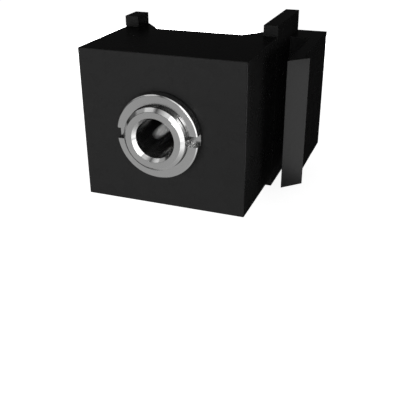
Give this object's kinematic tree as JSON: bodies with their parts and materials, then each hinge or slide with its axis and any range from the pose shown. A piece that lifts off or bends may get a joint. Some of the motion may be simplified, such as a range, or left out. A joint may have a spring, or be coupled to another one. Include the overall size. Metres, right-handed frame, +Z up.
{
  "type": "stereo keystone jack module",
  "caption": "Snap-in keystone module that holds a panel jack for a 3.5 mm stereo plug, with a slotted ring nut, panel stops and a sprung latch arm.",
  "frame": {"origin": "on the plug's axis, at the plane of the housing's front face", "axes": "+Z up, -Y out of the front face along the plug's axis, +X towards the latch arm; the module lies on its side, as the picture shows it"},
  "size_m": [0.0208, 0.0206, 0.0166],
  "materials": {
    "housing_plastic": "black moulded plastic, satin",
    "nickel": "bright nickel plate on turned brass",
    "insulator_plastic": "black moulded plastic, semi-gloss",
    "contact_metal": "tin plate on spring bronze"
  },
  "bodies": {
    "module": {"housing": "housing_plastic", "ring_nut": "nickel", "bushing": "nickel", "sleeve_contact": "contact_metal", "jack_body": "insulator_plastic", "tip_contact": "contact_metal", "ring_contact": "contact_metal", "rear_cap": "insulator_plastic"},
    "latch": {"latch_arm": "housing_plastic"}
  },
  "joints": [
    {"name": "latch_flex", "type": "hinge", "parent": "module", "child": "latch", "pos_m": [0.01007, 0.01506, 0], "axis": [0, 0, 1], "range_deg": [-11.5, 0], "stiffness_Nm_per_rad": 0.74}
  ]
}
